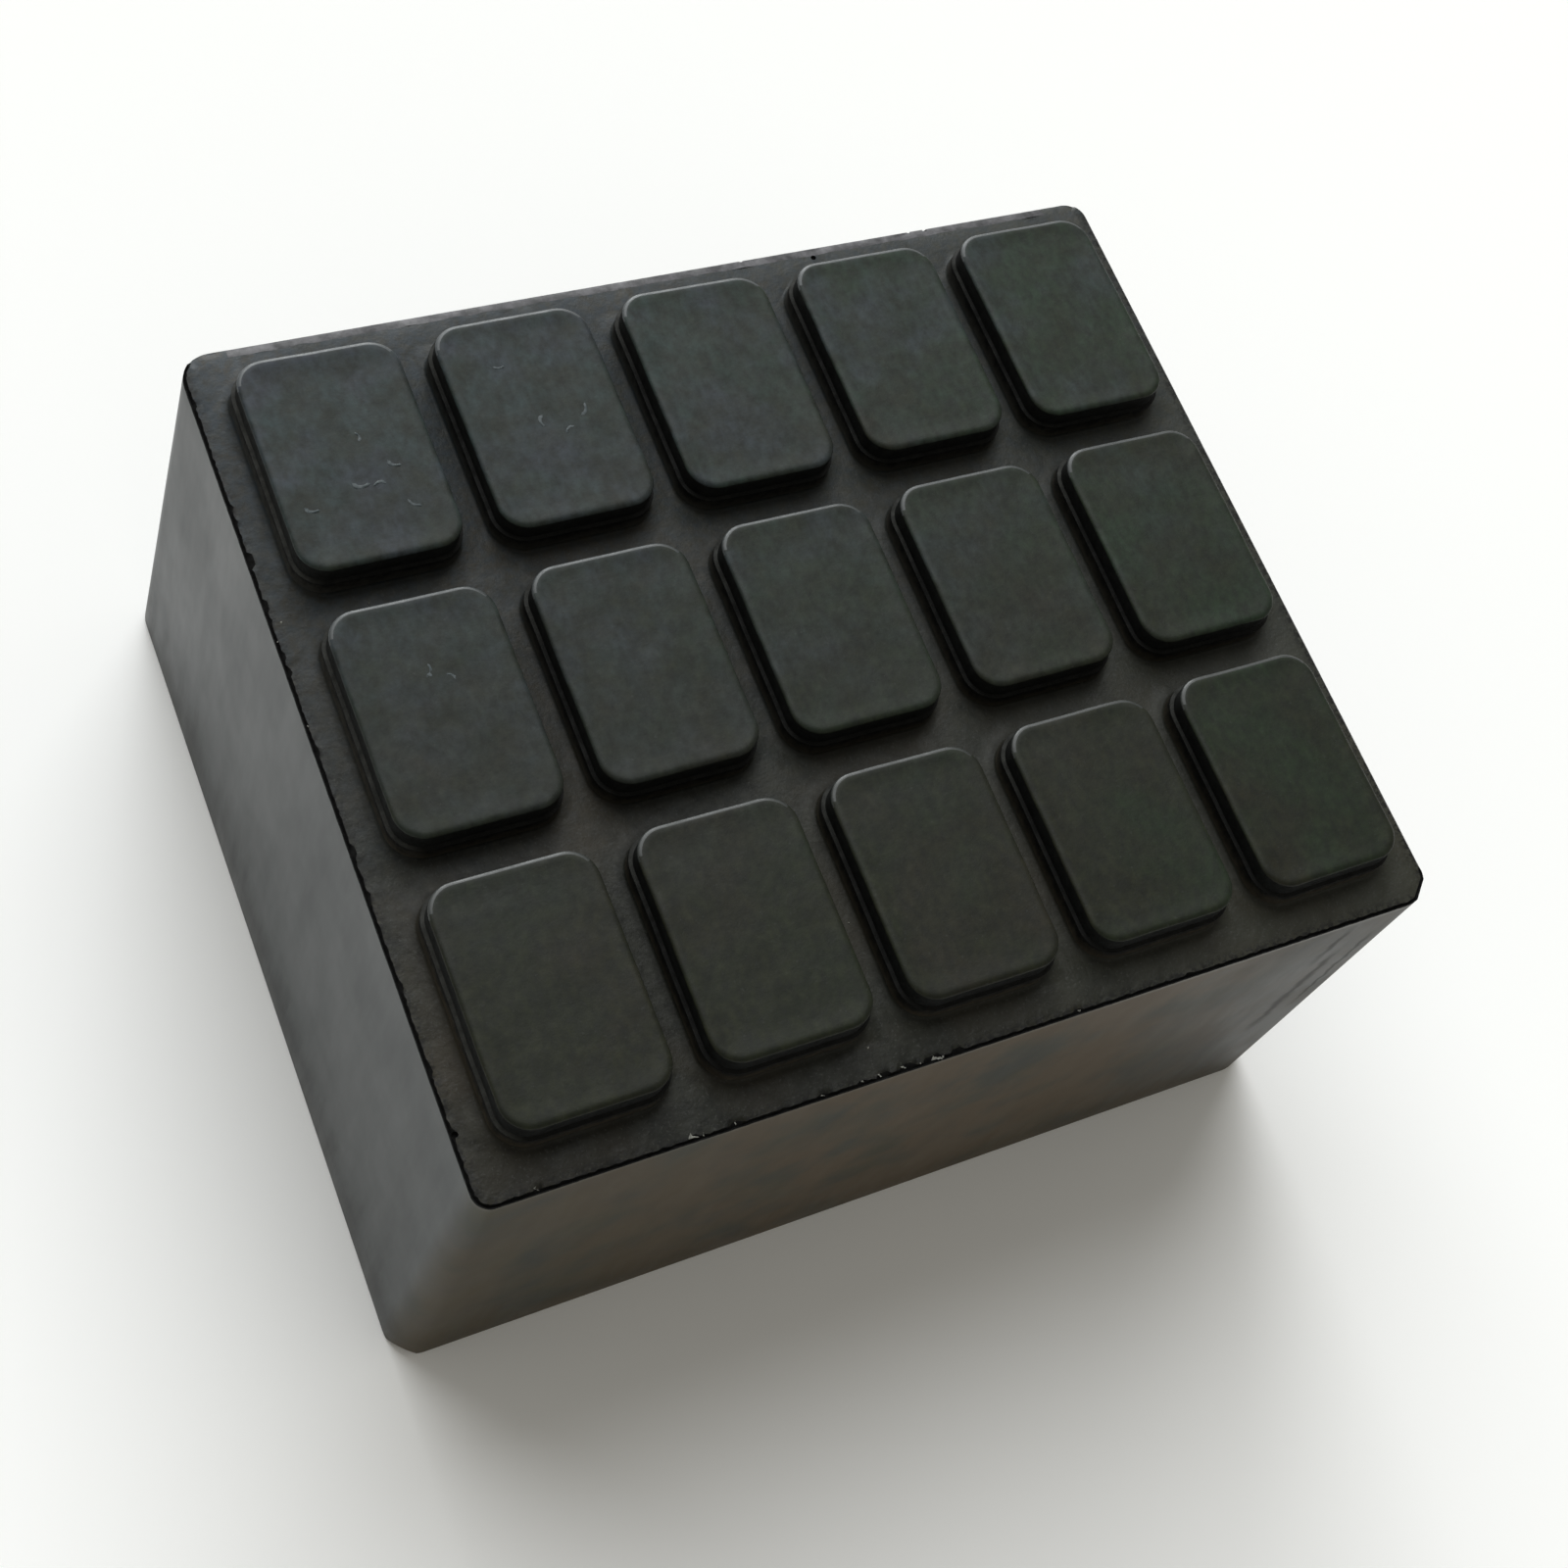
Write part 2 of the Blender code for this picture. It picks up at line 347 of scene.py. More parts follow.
# Painted shade: the plate is painted darker next to the feet of the pads.
painted_shade_by_pads = spread(tree, plus(tree, from_pads(tree, place), wander), 0.3, 0.0, 0.0000, 0.0008)
tone = mixed(tree, painted_shade_by_pads, tone, PLATE_PAINTED_SHADE)
to_side = maths(tree, "SUBTRACT", half_x, maths(tree, "ABSOLUTE", across))
to_front = plus(tree, deep, half_y)
at_edge = spread(tree, maths(tree, "MINIMUM", to_side, to_front), 1.0, 0.0, 0.0005, 0.0018)
specks = spread(tree, cloud(tree, place, 0.0007, 3, shift=15), 0.0, 0.9, 0.46, 0.56)
tone = mixed(tree, times(tree, at_edge, specks), tone, PLATE_SPECKS)
gloss = spread(tree, cloud(tree, place, 0.0025, 4, shift=5), 0.42, 0.54)
gloss = plus(tree, gloss, times(tree, painted_shade_by_pads, 0.35))
skin = bumps(tree, cloud(tree, place, 0.003, 3, shift=1), 0.00008, 0.8)
skin = bumps(tree, cloud(tree, place, 0.0008, 3, shift=4), 0.00007, 0.9, skin)
dress(tree, shader, tone, gloss, skin)
print("plate rubber:", len(tree.nodes), "nodes")

# %% [markdown]
# ### The walls
# The walls slid along polished steel as the block left its mould. So they are satin, with soft streaks
# in the direction of the pull, and they mirror the bright floor when they are seen at a low angle. A
# little dirt has crept up from the base all round. The long front wall has more marks: large soft clouds
# of olive and brown, browner dirt, an upper edge rubbed light, and a lighter grey stretch on the right,
# where something scraped upright streaks; its lighter colour is partly a painted reflection of the lit
# floor beside that end. These are kept to where the coordinate along the short side says front. Each
# streak is given by its middle, its lower end, its upper end and its width.

# %% Mix the colours of the walls
WALL_DARK, WALL_LIGHT = (0.0090, 0.0138, 0.0144), (0.0145, 0.0203, 0.0212)
WALL_OLIVE, WALL_BROWN = (0.0320, 0.0290, 0.0120), (0.0580, 0.0380, 0.0160)
WALL_GREY_AND_PAINTED_REFLECTION = (0.0330, 0.0340, 0.0290)
UPWARD = (1, 1, 0.22)
wall_rubber, tree, shader, place = begin("wall_rubber", 0.32)
across, deep, height = parts_of(tree, place)
lumps = spread(tree, cloud(tree, place, 0.007, 4, UPWARD), 0, 1)
tone = mixed(tree, lumps, WALL_DARK, WALL_LIGHT)
front = spread(tree, deep, 1.0, 0.0, -0.0600, -0.0560)
olive = times(tree, front, spread(tree, cloud(tree, place, 0.012, 3, shift=4), 0.35, 1.0))
tone = mixed(tree, olive, tone, WALL_OLIVE)
brown = times(tree, front, spread(tree, cloud(tree, place, 0.015, 3, shift=6), 0.0, 0.95, 0.36, 0.54))
brown = times(tree, brown, spread(tree, across, 0.5, 1.0, -0.065, -0.015))
tone = mixed(tree, brown, tone, WALL_BROWN)
# Painted reflection: the right end of the front wall is painted a lighter grey, partly for the lit floor
# that it mirrors.
grey = times(tree, front, spread(tree, across, 0.0, 1.0, 0.030, 0.056))
grey = times(tree, grey, spread(tree, cloud(tree, place, 0.006, 4, shift=13), 0.6, 1.0))
tone = mixed(tree, grey, tone, WALL_GREY_AND_PAINTED_REFLECTION)

# %% Scrape the streaks
WALL_SCRAPED = (0.0060, 0.0060, 0.0050)
STREAKS = (
    (0.0600, 0.022, 0.056, 0.00080),
    (0.0570, 0.050, 0.066, 0.00060),
    (0.0640, 0.030, 0.060, 0.00040),
)
FADE_IN, FADE_OUT = 0.008, 0.005
scraped = 0.0
for middle, lower, upper, width in STREAKS:
    wobble = spread(tree, cloud(tree, place, 0.004, 3, shift=1000 * middle), -0.0008, 0.0008, 0.2, 0.8)
    beside = maths(tree, "ABSOLUTE", maths(tree, "SUBTRACT", plus(tree, across, wobble), middle))
    streak = times(tree, front, spread(tree, beside, 1.0, 0.0, 0.3 * width, 1.6 * width))
    streak = times(tree, streak, spread(tree, height, 0.0, 1.0, lower, lower + FADE_IN))
    streak = times(tree, streak, spread(tree, height, 1.0, 0.0, upper - FADE_OUT, upper))
    scraped = maths(tree, "MAXIMUM", streak, scraped)
smears = spread(tree, cloud(tree, place, 0.0045, 4, UPWARD, shift=17), 0.0, 0.25, 0.50, 0.66)
scraped = maths(tree, "MAXIMUM", scraped, times(tree, grey, smears))
tone = mixed(tree, times(tree, scraped, 0.6), tone, WALL_SCRAPED)
print("streaks:", len(STREAKS))

# %% Rub the upper edge, add the dirt and finish the walls
WALL_LIP = (0.1700, 0.1640, 0.1480)
DIRT, FRONT_DIRT = (0.0240, 0.0250, 0.0225), (0.0560, 0.0410, 0.0200)
DIRT_HEIGHT = 0.012
lip = times(tree, front, spread(tree, height, 0.0, 1.0, PLATE_LEVEL - 0.0015, PLATE_LEVEL - 0.0007))
lip = times(tree, lip, spread(tree, across, 0.25, 0.8, -0.020, 0.045))
tone = mixed(tree, lip, tone, WALL_LIP)
uneven = plus(tree, height, spread(tree, cloud(tree, place, 0.004, 4, UPWARD, shift=2), -0.006, 0.006))
dirt = spread(tree, uneven, 0.55, 0.0, 0.0, DIRT_HEIGHT)
tone = mixed(tree, dirt, tone, mixed(tree, front, DIRT, FRONT_DIRT))
streaky = spread(tree, cloud(tree, place, 0.004, 4, UPWARD, shift=3), -0.02, 0.02)
clouds = spread(tree, cloud(tree, place, 0.022, 3, shift=7), 0.36, 0.43)
gloss = plus(tree, plus(tree, streaky, clouds), times(tree, dirt, 0.15))
dull = maths(tree, "SUBTRACT", front, times(tree, grey, 0.4))
gloss = plus(tree, gloss, times(tree, dull, 0.16))
gloss = plus(tree, gloss, times(tree, scraped, 0.14))
skin = bumps(tree, cloud(tree, place, 0.012, 2, UPWARD, shift=1), 0.00004, 0.2)
skin = bumps(tree, cloud(tree, place, 0.0008, 2, (1, 1, 0.5), shift=4), 0.000006, 0.4, skin)
skin = bumps(tree, maths(tree, "SUBTRACT", 1.0, scraped), 0.00005, 0.4, skin)
dress(tree, shader, tone, gloss, skin)
print("wall rubber:", len(tree.nodes), "nodes")

# %% [markdown]
# ### The torn and the cut edge
# Where the thin flash was torn off, the fresh rubber is rough and gives little light back, and its colour
# is painted deep black, partly a painted shade for the narrow notch. Where a knife trimmed it, along the
# back, the cut is painted a light grey, partly a chalky cut and partly a painted highlight of the light
# from behind. A few shreds of flash still hang in the torn edge: they are thin, dusty and much lighter
# than the rest. The scuffs on the pads are only a little lighter than the pads. All four are rough rubber
# in two tones, so one function mixes them.

# %% Mix the rubber of the edges
TORN_AND_SHADE_TONES = (0.002, 0.002, 0.002), (0.006, 0.006, 0.006)
CUT_AND_HIGHLIGHT_TONES = (0.012, 0.012, 0.014), (0.078, 0.075, 0.084)
SHRED_TONES = (0.070, 0.070, 0.062), (0.300, 0.300, 0.270)
SCUFF_TONES = (0.028, 0.040, 0.044), (0.070, 0.084, 0.090)


def edge_rubber(name, tones, roughness, specular, size, height):
    """A rough rubber for an edge: two tones in small lumps, with bumps of the given height."""
    made, tree, shader, place = begin(name, specular)
    tone = mixed(tree, spread(tree, cloud(tree, place, size, 5), 0, 1), *tones)
    gloss = spread(tree, cloud(tree, place, 1.7 * size, 3, shift=2), roughness - 0.08, roughness + 0.08)
    dress(tree, shader, tone, gloss, bumps(tree, cloud(tree, place, size, 4, shift=1), height, 0.9))
    return made


# The torn edge is painted near black, partly a painted shade for the notch; the cut is painted light grey,
# partly a painted highlight.
torn_rubber_and_painted_shade = edge_rubber("torn_rubber_and_painted_shade", TORN_AND_SHADE_TONES, 0.88, 0.12, size=0.0008, height=0.0001)
cut_rubber_and_painted_highlight = edge_rubber("cut_rubber_and_painted_highlight", CUT_AND_HIGHLIGHT_TONES, 0.55, 0.30, size=0.0017, height=0.00006)
shred_rubber = edge_rubber("shred_rubber", SHRED_TONES, 0.6, 0.4, size=0.0006, height=0.00005)
scuff_rubber = edge_rubber("scuff_rubber", SCUFF_TONES, 0.5, 0.26, size=0.0007, height=0.00002)
FINISHES = [
    pad_rubber, rim_rubber_painted_highlight, side_rubber_painted_shade, foot_rubber, plate_rubber, wall_rubber, torn_rubber_and_painted_shade, cut_rubber_and_painted_highlight,
]
PAD, RIM, SIDE, FOOT, PLATE, WALL, TORN, CUT = range(len(FINISHES))
print("finishes:", [made.name for made in FINISHES])

# %% [markdown]
# ## The block
# The body starts as a cube at its real size. Its base is drawn out a little, which gives the walls their
# lean, and the four upright edges are bevelled to a round. Two of these rounds, at the front on the left
# and at the back on the right, grow narrower towards the top. The real block has two flaws that show in
# its outline: one upper corner was trimmed flat, and one lower corner is chipped. A straight cut,
# Blender's bisect, makes each of them, and fills the hole that it leaves.

# %% Helpers to work by hand
def only(thing):
    """Makes one object the selected and active one."""
    bpy.ops.object.select_all(action="DESELECT")
    thing.select_set(True)
    bpy.context.view_layer.objects.active = thing


def open_mesh(thing):
    """Opens an object in edit mode with nothing selected."""
    only(thing)
    bpy.ops.object.mode_set(mode="EDIT")
    bpy.ops.mesh.select_mode(type="FACE")
    bpy.ops.mesh.select_all(action="DESELECT")


def close_mesh():
    bpy.ops.object.mode_set(mode="OBJECT")


def pick(thing, kind, wanted):
    """Selects the faces, edges or verts for which the test holds, and says how many they are."""
    bpy.ops.mesh.select_mode(type={"faces": "FACE", "edges": "EDGE", "verts": "VERT"}[kind])
    bpy.ops.mesh.select_all(action="DESELECT")
    found = [item for item in getattr(bmesh.from_edit_mesh(thing.data), kind) if wanted(item)]
    for item in found:
        item.select_set(True)
    bmesh.update_edit_mesh(thing.data)
    return len(found)


def along(edge, axis):
    """The edge's length along one axis, as a share of its whole length."""
    run = edge.verts[1].co - edge.verts[0].co
    return abs(run[axis]) / max(run.length, 1e-9)


def box_at(name, low, high, finishes):
    """A cube at its real size and place, with its place kept in its mesh."""
    bpy.ops.object.select_all(action="DESELECT")
    bpy.ops.mesh.primitive_cube_add(size=1, location=(low + high) / 2, scale=high - low)
    made = bpy.context.object
    made.name = name
    bpy.ops.object.transform_apply(location=True, rotation=True, scale=True)
    for finish in finishes:
        made.data.materials.append(finish)
    return made


# %% Shape the block
BASE_ROUND = 0.0005
low, high = Vector((-half_x, -half_y, 0)), Vector((half_x, half_y, PLATE_LEVEL))
block = box_at("lift_block", low, high, FINISHES)
open_mesh(block)
pick(block, "faces", lambda face: face.normal.z < -0.9)
base_growth = (cad_size.x / TOP_LENGTH, cad_size.y / TOP_WIDTH, 1)
bpy.ops.transform.resize(value=base_growth, center_override=(0, 0, 0))
pick(block, "edges", lambda edge: along(edge, 2) > 0.9)
bpy.ops.mesh.bevel(offset=CORNER_RADIUS, segments=12, affect="EDGES")
print("block outline:", len(bmesh.from_edit_mesh(block.data).verts) // 2, "points")

# %% Square up two corners at their top
SHARPER = {(-1, -1): 0.55, (1, 1): 0.65}
NEAR = 0.0001


def corner_of(point):
    """Which of the four corners is the nearest, as the signs of its X and Y."""
    return math.copysign(1, point.x), math.copysign(1, point.y)


def in_upper_round(point):
    """True for the upper ends of the rounds at the corners."""
    beyond = min(abs(point.x) - half_x, abs(point.y) - half_y)
    return beyond > -CORNER_RADIUS - NEAR and point.z > PLATE_LEVEL / 2


for corner, share in SHARPER.items():
    pick(block, "verts", lambda point: in_upper_round(point.co) and corner_of(point.co) == corner)
    sharp_corner = (corner[0] * half_x, corner[1] * half_y, PLATE_LEVEL)
    bpy.ops.transform.resize(value=(share, share, 1), center_override=sharp_corner)
print("corners squared up:", len(SHARPER))

# %% Trim the two corners
TRIMS = (
    ((half_x - 0.0016, -half_y + 0.0016, PLATE_LEVEL), (0.70, -0.70, 0.14)),
    ((-cad_size.x / 2 + 0.0019, -cad_size.y / 2 + 0.0019, 0), (-0.66, -0.66, -0.36)),
)
for place_of_cut, facing in TRIMS:
    bpy.ops.mesh.select_all(action="SELECT")
    bpy.ops.mesh.bisect(plane_co=place_of_cut, plane_no=facing, use_fill=True, clear_outer=True)
pick(block, "edges", lambda edge: max(end.co.z for end in edge.verts) < BASE_ROUND)
bpy.ops.mesh.bevel(offset=BASE_ROUND, segments=3, affect="EDGES")
print("block after its corners:", len(bmesh.from_edit_mesh(block.data).verts), "points")

# %% [markdown]
# The walls are then divided, because the top edge has to look torn, and a tear needs points to move. A
# coarse division first runs right over the plate and the base, so both get a grid of squares. Cuts across
# the walls follow, then the rings at the plate's edge, and only then the fine division, which stays on
# the walls and the rings.

# %% Divide the block coarsely
COARSE = 0.0047
SPACING = 0.0006


def divide(thing, axis, cuts, wanted=lambda edge: True):
    """Divides the edges along an axis, which cuts each face between two of them into strips."""
    count = pick(thing, "edges", lambda edge: along(edge, axis) > 0.999 and wanted(edge))
    bpy.ops.mesh.subdivide(number_cuts=cuts)
    print("divided", count, "edges by", cuts, "cuts")


divide(block, 0, round(TOP_LENGTH / COARSE) - 1, lambda edge: edge.calc_length() > TOP_LENGTH / 2)
divide(block, 1, round(TOP_WIDTH / COARSE) - 1, lambda edge: edge.calc_length() > TOP_WIDTH / 2)

# %% Cut the walls across
ACROSS = 0.0055
LIP = 0.0005
levels = [ACROSS * step for step in range(1, int(PLATE_LEVEL / ACROSS))]
levels += [PLATE_LEVEL - 5 * LIP, PLATE_LEVEL - 2.4 * LIP, PLATE_LEVEL - LIP]
pick(block, "faces", lambda face: abs(face.normal.z) > 0.5)
bpy.ops.mesh.hide(unselected=False)
for level in levels:
    bpy.ops.mesh.select_all(action="SELECT")
    bpy.ops.mesh.bisect(plane_co=(0, 0, level), plane_no=(0, 0, 1))
bpy.ops.mesh.reveal(select=False)
print("block after its cuts across:", len(bmesh.from_edit_mesh(block.data).faces), "faces")

# %% [markdown]
# ## The mould line
# The two halves of the mould met round the top edge. Rubber squeezed out there as a thin flash, and the
# flash was torn off. That leaves a narrow ragged notch, whose rubber is painted near black, partly its
# own fresh tone and partly a painted shade for the notch. The plate's face is inset three times, which
# gives three rings round it. The first ring is pushed down, so there is a real notch between the wall and
# the plate. At the back the flash was cut with a knife instead, so there the rings follow a slope, and on
# the right the edge is worn to a round.

# %% Inset the rings
RINGS = (0.00022, 0.00046, 0.0014)


def inward(point):
    """How far a point lies inside the outline of the walls, seen from above."""
    radius = CORNER_RADIUS * SHARPER.get(corner_of(point), 1)
    over_x = abs(point.x) - (half_x - radius)
    over_y = abs(point.y) - (half_y - radius)
    outside = math.hypot(max(over_x, 0), max(over_y, 0))
    return radius - outside - min(max(over_x, over_y), 0)


def on_plate(face):
    return face.normal.z > 0.9 and face.calc_center_median().z > PLATE_LEVEL - LIP / 2


pick(block, "faces", on_plate)
last = 0
for ring in RINGS:
    bpy.ops.mesh.inset(thickness=ring - last)
    last = ring
print("faces inside the rings:", sum(face.select for face in bmesh.from_edit_mesh(block.data).faces))


# %% Divide the walls and the rings finely
def runs_round(edge):
    """True for an edge on a wall or ring that runs round the block, not across the ring."""
    depths = [inward(end.co) for end in edge.verts]
    return max(depths) < RINGS[2] + SPACING / 10 and abs(depths[0] - depths[1]) < SPACING / 100


for axis in (0, 1):
    divide(block, axis, round(COARSE / SPACING) - 1, runs_round)
print("block after its fine cuts:", len(bmesh.from_edit_mesh(block.data).faces), "faces")


# %% Say where a point of the edge lies
RING_SLACK = 0.00009


def on_ring(point, distance):
    return point.z > PLATE_LEVEL - LIP / 2 and abs(inward(point) - distance) < RING_SLACK


def overs(point):
    """How far a point lies beyond the start of the corner rounds, along X and along Y."""
    return abs(point.x) - (half_x - CORNER_RADIUS), abs(point.y) - (half_y - CORNER_RADIUS)


def at_back(point):
    return point.y > 0 and overs(point)[1] > overs(point)[0] and inward(point) < 1.5 * RINGS[2]


def at_right(point):
    return point.x > 0 and point.y > CORNER_RADIUS - half_y and overs(point)[0] >= overs(point)[1]


def at_notch(point):
    return not at_back(point) and not at_right(point)


# %% Push the notch down and slope the back
NOTCH = ((0, 0.00010), (RINGS[0], 0.00042), (RINGS[1], 0.00003))
WORN = ((0, 0.00022), (RINGS[0], 0.00006), (RINGS[1], 0.00001))
SLOPE = ((0, 0.00046), (RINGS[0], 0.00034), (RINGS[1], 0.00026))
for falls, here in ((NOTCH, at_notch), (SLOPE, at_back), (WORN, at_right)):
    for distance, fall in falls:
        count = pick(block, "verts", lambda point: on_ring(point.co, distance) and here(point.co))
        bpy.ops.transform.translate(value=(0, 0, -fall))
        print("ring:", count, "points down by", round(1000 * fall, 2), "mm")

# %% [markdown]
# The notch is wider where a bit of the plate came away with the flash. For each of these bites, the
# nearest points on the inner edge of the notch are pushed inwards.

# %% Bite into the edge
EDGE_STRIP = 0.003
BITES = (
    (-0.0694, 0.0524, 0.0005), (-0.0690, 0.0365, 0.0006), (-0.0690, 0.0344, 0.0005),
    (-0.0693, 0.0288, 0.0010), (-0.0696, 0.0218, 0.0006), (-0.0692, 0.0197, 0.0005),
    (-0.0695, 0.0145, 0.0005), (-0.0695, 0.0122, 0.0006), (-0.0694, 0.0010, 0.0005),
    (-0.0694, -0.0130, 0.0007), (-0.0694, -0.0190, 0.0005), (-0.0694, -0.0310, 0.0006),
    (-0.0694, -0.0420, 0.0005), (-0.0690, -0.0503, 0.0007), (-0.0624, -0.0592, 0.0004),
    (-0.0422, -0.0592, 0.0007), (-0.0368, -0.0592, 0.0006), (-0.0250, -0.0594, 0.0004),
    (-0.0196, -0.0592, 0.0006), (-0.0165, -0.0593, 0.0007), (-0.0130, -0.0594, 0.0008),
    (-0.0095, -0.0595, 0.0009), (-0.0060, -0.0595, 0.0007), (0.0120, -0.0594, 0.0004),
    (0.0290, -0.0594, 0.0005), (0.0470, -0.0594, 0.0004),
)
for x, y, reach in BITES:
    spot = Vector((x, y, PLATE_LEVEL))
    near = 1.1 * reach
    if pick(block, "verts", lambda point: on_ring(point.co, RINGS[1]) and (point.co - spot).length < near):
        push = (0.5 * reach, 0, 0) if x < -half_x + EDGE_STRIP else (0, 0.5 * reach, 0)
        bpy.ops.transform.translate(value=push)
close_mesh()
print("bites:", len(BITES))


# %% Give the block its finishes
def middle_of(thing, face):
    return sum((thing.data.vertices[index].co for index in face.vertices), Vector()) / len(face.vertices)


for face in block.data.polygons:
    place_of_face = middle_of(block, face)
    depth = inward(place_of_face)
    if place_of_face.z < PLATE_LEVEL - LIP:
        face.material_index = WALL
    elif at_back(place_of_face) and depth < RINGS[2]:
        face.material_index = CUT if overs(place_of_face)[0] < -0.5 * CORNER_RADIUS else PLATE
    elif at_right(place_of_face):
        face.material_index = CUT if depth < RINGS[0] else PLATE
    elif face.normal.z < 0.97 and depth < 3 * RINGS[1] or depth < RINGS[1]:
        face.material_index = TORN
    else:
        face.material_index = PLATE
print("faces of the torn line:", sum(face.material_index == TORN for face in block.data.polygons))


# %% Roughen the torn line
def group_of(thing, name, weight):
    """A vertex group in which each point gets the weight that the function gives for its place."""
    group = thing.vertex_groups.new(name=name)
    for point in thing.data.vertices:
        amount = weight(point.co)
        if amount > 0:
            group.add([point.index], amount, "REPLACE")
    return group


def roughen(thing, group, size, strength, depth=2, direction="RGB_TO_XYZ"):
    """Moves a group of points by a coloured cloud texture, and applies the change."""
    clouds = bpy.data.textures.new("clouds", "CLOUDS")
    clouds.noise_scale = size
    clouds.noise_depth = depth
    clouds.cloud_type = "COLOR"
    displace = thing.modifiers.new("roughen", "DISPLACE")
    displace.texture = clouds
    displace.texture_coords = "LOCAL"
    displace.direction = direction
    displace.mid_level = 0.5
    displace.strength = strength
    displace.vertex_group = group.name
    only(thing)
    bpy.ops.object.modifier_apply(modifier=displace.name)


TORN_REACH = 0.0012


def by_tear(point):
    """Full for the inner lip on the left and at the front, and less further out and elsewhere."""
    if point.z < PLATE_LEVEL - 2 * LIP or inward(point) > TORN_REACH:
        return 0
    torn_side = point.x < -half_x + EDGE_STRIP or point.y < -half_y + EDGE_STRIP
    if inward(point) < NEAR:
        share = 0.15
    else:
        share = 0.5 if inward(point) < RINGS[0] + NEAR else 1.0
    return share * (1.0 if torn_side else 0.45)


def by_wall(point):
    return 1.0 if 3 * BASE_ROUND < point.z < PLATE_LEVEL - 2 * LIP else 0.0


def by_cut(point):
    return 1.0 if at_back(point) and point.z > PLATE_LEVEL - LIP and inward(point) > 2 * NEAR else 0.0


roughen(block, group_of(block, "walls", by_wall), size=0.016, strength=0.00012, direction="NORMAL")
roughen(block, group_of(block, "tear", by_tear), size=0.0009, strength=0.00050)
roughen(block, group_of(block, "cut", by_cut), size=0.0042, strength=0.00045)
print("block:", len(block.data.vertices), "points")

# %% [markdown]
# A pit and a few nicks are left in the edge. Small spheres stand where they belong, and a Boolean
# modifier takes them away from the block.

# %% Cut the pit and the nicks
def ball_at(name, place, radius, finishes):
    """A small sphere at its real size and place."""
    bpy.ops.object.select_all(action="DESELECT")
    bpy.ops.mesh.primitive_ico_sphere_add(subdivisions=3, radius=radius, location=place)
    made = bpy.context.object
    made.name = name
    bpy.ops.object.transform_apply(location=True, rotation=True, scale=True)
    for finish in finishes:
        made.data.materials.append(finish)
    return made


def joined(things):
    """Joins objects into the first one."""
    only(things[0])
    for other in things[1:]:
        other.select_set(True)
    bpy.ops.object.join()
    return bpy.context.object


def combine(thing, other, operation):
    """Adds another body to this one or cuts it away, and removes the other."""
    change = thing.modifiers.new("combine", "BOOLEAN")
    change.operation = operation
    change.solver = "EXACT"
    change.object = other
    only(thing)
    bpy.ops.object.modifier_apply(modifier=change.name)
    bpy.data.objects.remove(other, do_unlink=True)


PITS = (
    (0.02334, 0.05818, 0.0000, 0.00040), (0.01238, 0.06005, 0.0006, 0.00034),
    (0.04015, 0.06005, 0.0006, 0.00030), (0.04285, 0.05985, 0.0005, 0.00038),
    (-0.06935, -0.05033, 0.0002, 0.00045),
)
balls = [ball_at("pit", (x, y, PLATE_LEVEL - fall), radius, FINISHES) for x, y, fall, radius in PITS]
for ball in balls:
    for face in ball.data.polygons:
        face.material_index = TORN
combine(block, joined(balls), "DIFFERENCE")
print("block with its pits:", len(block.data.polygons), "faces")

# %% [markdown]
# ## One pad, and then all of them
# Each pad stands 5.5 mm proud of the plate, in two storeys: the lower one is half a millimetre wider all
# round, so a narrow, sloping ledge runs round the pad halfway up. The top edge is only just rounded, and
# this small round is what catches the light. The pad starts as a cube that reaches into the block,
# because two bodies have to overlap before they can be joined. Its top face is then drawn inwards and
# upwards, one stretch of the side at a time, and at the end it is dished a little: rubber shrinks as it
# cools, so the middle of a thick place sinks.

# %% Start the pad
ROOT = 0.002
outset = LEDGE + FLARE
reach = Vector((PAD_X / 2 + outset, PAD_Y / 2 + outset, 0))
low = Vector((-reach.x, -reach.y, PLATE_LEVEL - ROOT))
high = Vector((reach.x, reach.y, PLATE_LEVEL))
pad = box_at("pad", low, high, FINISHES)
open_mesh(pad)
pick(pad, "edges", lambda edge: along(edge, 2) > 0.9)
bpy.ops.mesh.bevel(offset=PAD_CORNER + outset, segments=9, affect="EDGES")
print("pad outline:", len(bmesh.from_edit_mesh(pad.data).verts) // 2, "points")


# %% Draw the pad up
LEDGE_FALL = 0.00015
LOWER_SIDE = LOWER_HEIGHT - FLARE - LEDGE_FALL
ROUND_IN = 0.0008
ROUND_DOWN = 0.00040
ROUND_STEPS = 5
DISH = ((0.0004, 0.00002), (0.0006, 0.00005), (0.0009, 0.00005), (0.0009, 0.00002))


def draw(inwards, upwards):
    """Draws the selected top face in and up by the given amounts."""
    if inwards:
        bpy.ops.mesh.inset(thickness=inwards)
        bpy.ops.transform.translate(value=(0, 0, upwards))
    else:
        bpy.ops.mesh.extrude_region_move(TRANSFORM_OT_translate={"value": (0, 0, upwards)})


pick(pad, "faces", lambda face: face.normal.z > 0.9)
draw(0.65 * FLARE, 0.3 * FLARE)
draw(0.35 * FLARE, 0.7 * FLARE)
draw(0, LOWER_SIDE / 2)
draw(0, LOWER_SIDE / 2)
draw(LEDGE, LEDGE_FALL)
draw(0, UPPER_HEIGHT - ROUND_DOWN)
for step in range(ROUND_STEPS):
    start, end = math.pi / 2 * step / ROUND_STEPS, math.pi / 2 * (step + 1) / ROUND_STEPS
    draw(ROUND_IN * (math.cos(start) - math.cos(end)), ROUND_DOWN * (math.sin(end) - math.sin(start)))
for inwards, sink in DISH:
    draw(inwards, -sink)
divide(pad, 0, 10)
divide(pad, 1, 16)
close_mesh()
print("pad:", len(pad.data.polygons), "faces")

